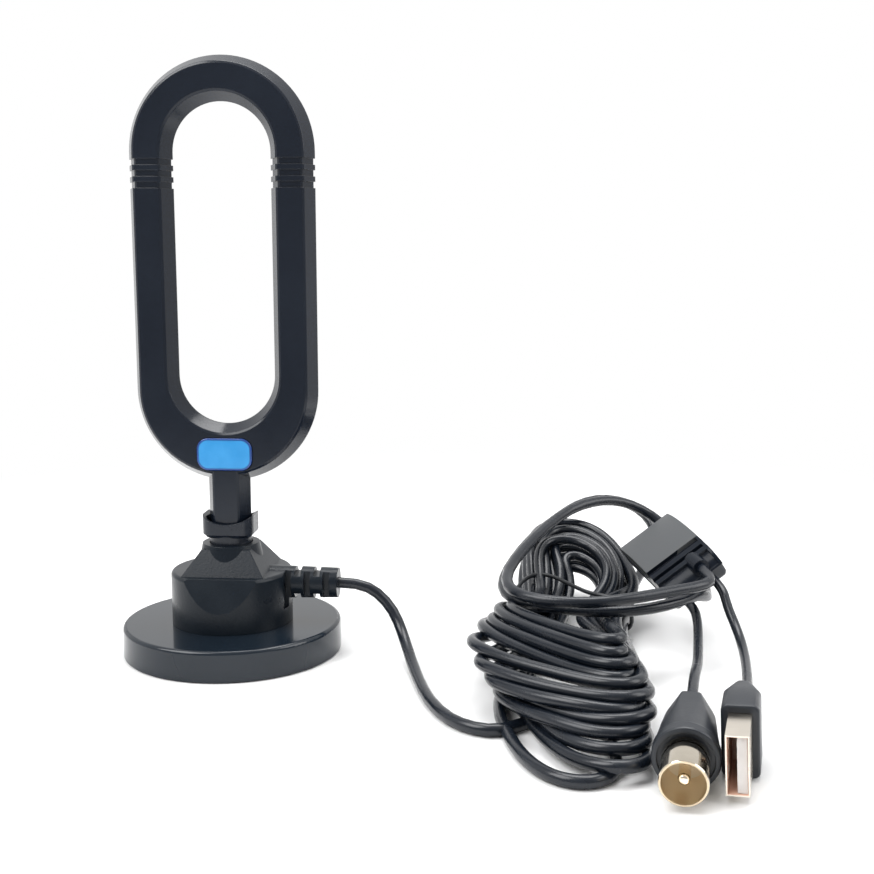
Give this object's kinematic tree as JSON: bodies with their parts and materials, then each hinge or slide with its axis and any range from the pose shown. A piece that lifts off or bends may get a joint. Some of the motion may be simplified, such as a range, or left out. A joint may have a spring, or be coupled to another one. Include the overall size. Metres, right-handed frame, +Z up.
{
  "type": "tv antenna",
  "caption": "Indoor TV antenna: upright bevelled oval loop on a socketed body and round magnetic foot, with a wound lead, an in-line amplifier box, an aerial plug and a USB power plug.",
  "frame": {"origin": "centre of the round foot's underside, on the surface it stands on", "axes": "+Z up along the stem, -Y to the side of the badge, +X towards the side where the lead leaves the body"},
  "size_m": [0.1618, 0.1603, 0.1526],
  "materials": {
    "loop_plastic": "smooth gloss",
    "element_metal": "plain stamped",
    "badge_enamel": "glossy domed",
    "socket_plastic": "satin",
    "body_plastic": "satin",
    "base_plastic": "polished",
    "magnet": "pressed ferrite",
    "foot_pad": "matt",
    "screw_steel": "plated",
    "lead_jacket": "satin sleeve",
    "box_plastic": "satin",
    "circuit_board": "solder mask",
    "circuit_parts": "moulded",
    "grip_plastic": "satin",
    "plug_gold": "plated",
    "insulator": "moulded",
    "plug_steel": "nickel plated",
    "tongue_plastic": "moulded",
    "tie_coating": "coated wire"
  },
  "bodies": {
    "root": {"loop_front_cover": "loop_plastic", "loop_rear_cover": "loop_plastic", "loop_element": "element_metal", "badge_plate": "badge_enamel", "stem_socket": "socket_plastic", "base_body": "body_plastic", "base_cover": "base_plastic", "base_magnet": "magnet", "base_pad": "foot_pad", "base_screw": "screw_steel", "feed_cable": "lead_jacket", "amp_cover": "box_plastic", "amp_tray": "box_plastic", "amp_board": "circuit_board", "amp_parts": "circuit_parts", "aerial_grip": "grip_plastic", "aerial_shell": "plug_gold", "aerial_insulator": "insulator", "aerial_pin": "plug_gold", "usb_grip": "grip_plastic", "usb_shell": "plug_steel", "usb_tongue": "tongue_plastic", "usb_contacts": "plug_gold", "lead_tail": "lead_jacket", "lead_hank": "lead_jacket", "lead_loop": "lead_jacket", "aerial_lead": "lead_jacket", "usb_lead": "lead_jacket", "hank_tie": "tie_coating"}
  },
  "joints": []
}
